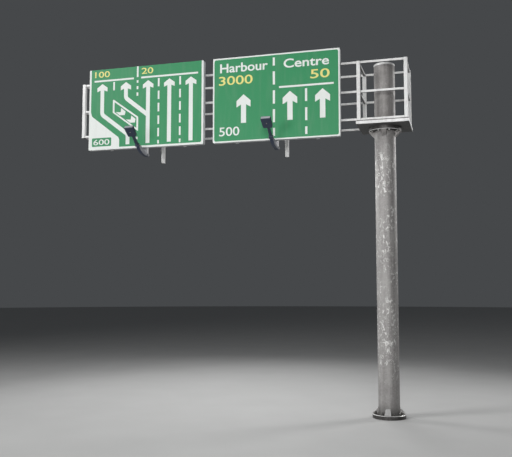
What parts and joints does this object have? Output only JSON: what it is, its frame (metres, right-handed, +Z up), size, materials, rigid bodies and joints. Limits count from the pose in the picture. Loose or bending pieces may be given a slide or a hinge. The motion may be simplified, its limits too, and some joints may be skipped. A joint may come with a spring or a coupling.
{
  "type": "overhead sign gantry",
  "caption": "Cantilever overhead sign gantry: a round flanged column carries a square lattice arm with flat direction signs and front lamps on bent brackets.",
  "frame": {"origin": "centre of the base flange's underside, on the column's axis", "axes": "+Z up the column; the arm runs towards -X; the signs face -Y"},
  "size_m": [7.764, 2.0364, 7.958],
  "materials": {
    "column_steel": "weathered hot-dip galvanised steel with pale spangle and streaks",
    "frame_steel": "bright hot-dip galvanised steel",
    "sign_face": "green retroreflective sheet with white and yellow markings",
    "sign_rail": "mill-finish extruded aluminium",
    "lamp_casing": "slate powder coat on cast aluminium",
    "lamp_glass": "clear toughened glass"
  },
  "bodies": {
    "root": {"base_flange": "column_steel", "base_gussets": "column_steel", "chord_back_bottom": "frame_steel", "chord_back_middle": "frame_steel", "chord_back_top": "frame_steel", "chord_front_bottom": "frame_steel", "chord_front_middle": "frame_steel", "chord_front_top": "frame_steel", "column_cap": "column_steel", "column_stub": "column_steel", "column_tube": "column_steel", "cross_bars_cage_left": "frame_steel", "cross_bars_cage_right": "frame_steel", "cross_bars_end": "frame_steel", "cross_bars_left": "frame_steel", "cross_bars_right": "frame_steel", "head_flange": "column_steel", "head_gussets": "column_steel", "lamp_1_arm": "frame_steel", "lamp_1_bracket": "frame_steel", "lamp_1_glass": "lamp_glass", "lamp_1_head": "lamp_casing", "lamp_2_arm": "frame_steel", "lamp_2_bracket": "frame_steel", "lamp_2_glass": "lamp_glass", "lamp_2_head": "lamp_casing", "platform": "frame_steel", "post_cage_left_back": "frame_steel", "post_cage_left_front": "frame_steel", "post_cage_right_back": "frame_steel", "post_cage_right_front": "frame_steel", "post_end_back": "frame_steel", "post_end_front": "frame_steel", "post_left_back": "frame_steel", "post_left_front": "frame_steel", "post_right_back": "frame_steel", "post_right_front": "frame_steel", "sign_1_bottom_rail": "sign_rail", "sign_1_left_bearer": "sign_rail", "sign_1_left_rail": "sign_rail", "sign_1_plate": "sign_face", "sign_1_right_bearer": "sign_rail", "sign_1_right_rail": "sign_rail", "sign_1_top_rail": "sign_rail", "sign_2_bottom_rail": "sign_rail", "sign_2_left_bearer": "sign_rail", "sign_2_left_rail": "sign_rail", "sign_2_plate": "sign_face", "sign_2_right_bearer": "sign_rail", "sign_2_right_rail": "sign_rail", "sign_2_top_rail": "sign_rail"}
  },
  "joints": []
}
